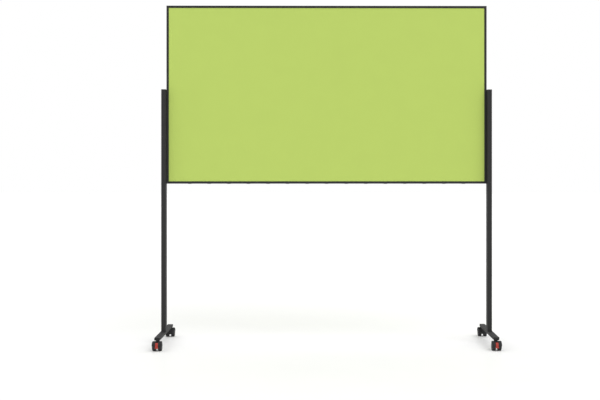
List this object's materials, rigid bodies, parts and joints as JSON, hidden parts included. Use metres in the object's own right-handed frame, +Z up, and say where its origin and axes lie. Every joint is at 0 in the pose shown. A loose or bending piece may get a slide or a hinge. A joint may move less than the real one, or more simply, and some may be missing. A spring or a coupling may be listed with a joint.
{
  "type": "mobile felt presentation board",
  "caption": "Large landscape felt pin board in a dark slim frame, held between two posts on flat feet with twin-wheel swivel casters and red brake pedals.",
  "frame": {"origin": "on the floor under the middle of the board, midway between the posts", "axes": "+X to the right seen from the front, +Y to the back of the board, +Z up; the front face of the board faces -Y"},
  "size_m": [1.8822, 0.5608, 1.898],
  "materials": {
    "frame_aluminium": "satin",
    "frame": "satin",
    "zinc": "satin",
    "dark_steel": "satin",
    "core": "matte",
    "felt": "matte",
    "black_plastic": "satin",
    "hood_plastic": "satin",
    "wheel_plastic": "satin",
    "tread": "matte",
    "red_plastic": "satin"
  },
  "bodies": {
    "stand": {"frame_top": "frame_aluminium", "frame_bottom": "frame_aluminium", "frame_left": "frame_aluminium", "frame_right": "frame_aluminium", "post_left": "frame", "post_right": "frame", "foot_left": "frame", "foot_right": "frame", "frame_corner_keys": "zinc", "frame_corner_screws": "zinc", "panel_core": "core", "felt_front": "felt", "felt_back": "felt", "bottom_rail_plugs": "black_plastic", "post_cap_left": "black_plastic", "post_cap_right": "black_plastic", "post_inserts": "zinc", "board_bolts": "zinc", "nut_plates": "zinc", "post_hole_plugs": "black_plastic", "foot_bolts": "zinc", "caster_inserts": "zinc", "foot_cap_fl": "black_plastic", "stem_fl": "dark_steel", "foot_cap_fr": "black_plastic", "stem_fr": "dark_steel", "foot_cap_rl": "black_plastic", "stem_rl": "dark_steel", "foot_cap_rr": "black_plastic", "stem_rr": "dark_steel"},
    "caster_fl": {"hood_fl": "hood_plastic", "axle_fl": "zinc"},
    "wheel_outer_fl_body": {"wheel_outer_fl": "wheel_plastic", "tread_outer_fl": "tread"},
    "wheel_inner_fl_body": {"wheel_inner_fl": "wheel_plastic", "tread_inner_fl": "tread"},
    "brake_fl": {"brake_lever_fl": "red_plastic"},
    "caster_fr": {"hood_fr": "hood_plastic", "axle_fr": "zinc"},
    "wheel_outer_fr_body": {"wheel_outer_fr": "wheel_plastic", "tread_outer_fr": "tread"},
    "wheel_inner_fr_body": {"wheel_inner_fr": "wheel_plastic", "tread_inner_fr": "tread"},
    "brake_fr": {"brake_lever_fr": "red_plastic"},
    "caster_rl": {"hood_rl": "hood_plastic", "axle_rl": "zinc"},
    "wheel_outer_rl_body": {"wheel_outer_rl": "wheel_plastic", "tread_outer_rl": "tread"},
    "wheel_inner_rl_body": {"wheel_inner_rl": "wheel_plastic", "tread_inner_rl": "tread"},
    "caster_rr": {"hood_rr": "hood_plastic", "axle_rr": "zinc"},
    "wheel_outer_rr_body": {"wheel_outer_rr": "wheel_plastic", "tread_outer_rr": "tread"},
    "wheel_inner_rr_body": {"wheel_inner_rr": "wheel_plastic", "tread_inner_rr": "tread"}
  },
  "joints": [
    {"name": "swivel_fl", "type": "hinge", "parent": "stand", "child": "caster_fl", "pos_m": [-0.915, -0.2295, 0.0525], "axis": [0, 0, 1], "continuous": true},
    {"name": "roll_outer_fl", "type": "hinge", "parent": "caster_fl", "child": "wheel_outer_fl_body", "pos_m": [-0.931, -0.2515, 0.025], "axis": [1, 0, 0], "continuous": true},
    {"name": "roll_inner_fl", "type": "hinge", "parent": "caster_fl", "child": "wheel_inner_fl_body", "pos_m": [-0.899, -0.2515, 0.025], "axis": [1, 0, 0], "continuous": true},
    {"name": "brake_fl", "type": "hinge", "parent": "caster_fl", "child": "brake_fl", "pos_m": [-0.915, -0.2515, 0.025], "axis": [1, 0, 0], "range_deg": [0, 18]},
    {"name": "swivel_fr", "type": "hinge", "parent": "stand", "child": "caster_fr", "pos_m": [0.915, -0.2295, 0.0525], "axis": [0, 0, 1], "continuous": true},
    {"name": "roll_outer_fr", "type": "hinge", "parent": "caster_fr", "child": "wheel_outer_fr_body", "pos_m": [0.931, -0.2515, 0.025], "axis": [1, 0, 0], "continuous": true},
    {"name": "roll_inner_fr", "type": "hinge", "parent": "caster_fr", "child": "wheel_inner_fr_body", "pos_m": [0.899, -0.2515, 0.025], "axis": [1, 0, 0], "continuous": true},
    {"name": "brake_fr", "type": "hinge", "parent": "caster_fr", "child": "brake_fr", "pos_m": [0.915, -0.2515, 0.025], "axis": [1, 0, 0], "range_deg": [0, 18]},
    {"name": "swivel_rl", "type": "hinge", "parent": "stand", "child": "caster_rl", "pos_m": [-0.915, 0.2315, 0.0525], "axis": [0, 0, 1], "continuous": true},
    {"name": "roll_outer_rl", "type": "hinge", "parent": "caster_rl", "child": "wheel_outer_rl_body", "pos_m": [-0.931, 0.2535, 0.025], "axis": [1, 0, 0], "continuous": true},
    {"name": "roll_inner_rl", "type": "hinge", "parent": "caster_rl", "child": "wheel_inner_rl_body", "pos_m": [-0.899, 0.2535, 0.025], "axis": [1, 0, 0], "continuous": true},
    {"name": "swivel_rr", "type": "hinge", "parent": "stand", "child": "caster_rr", "pos_m": [0.915, 0.2315, 0.0525], "axis": [0, 0, 1], "continuous": true},
    {"name": "roll_outer_rr", "type": "hinge", "parent": "caster_rr", "child": "wheel_outer_rr_body", "pos_m": [0.931, 0.2535, 0.025], "axis": [1, 0, 0], "continuous": true},
    {"name": "roll_inner_rr", "type": "hinge", "parent": "caster_rr", "child": "wheel_inner_rr_body", "pos_m": [0.899, 0.2535, 0.025], "axis": [1, 0, 0], "continuous": true}
  ]
}
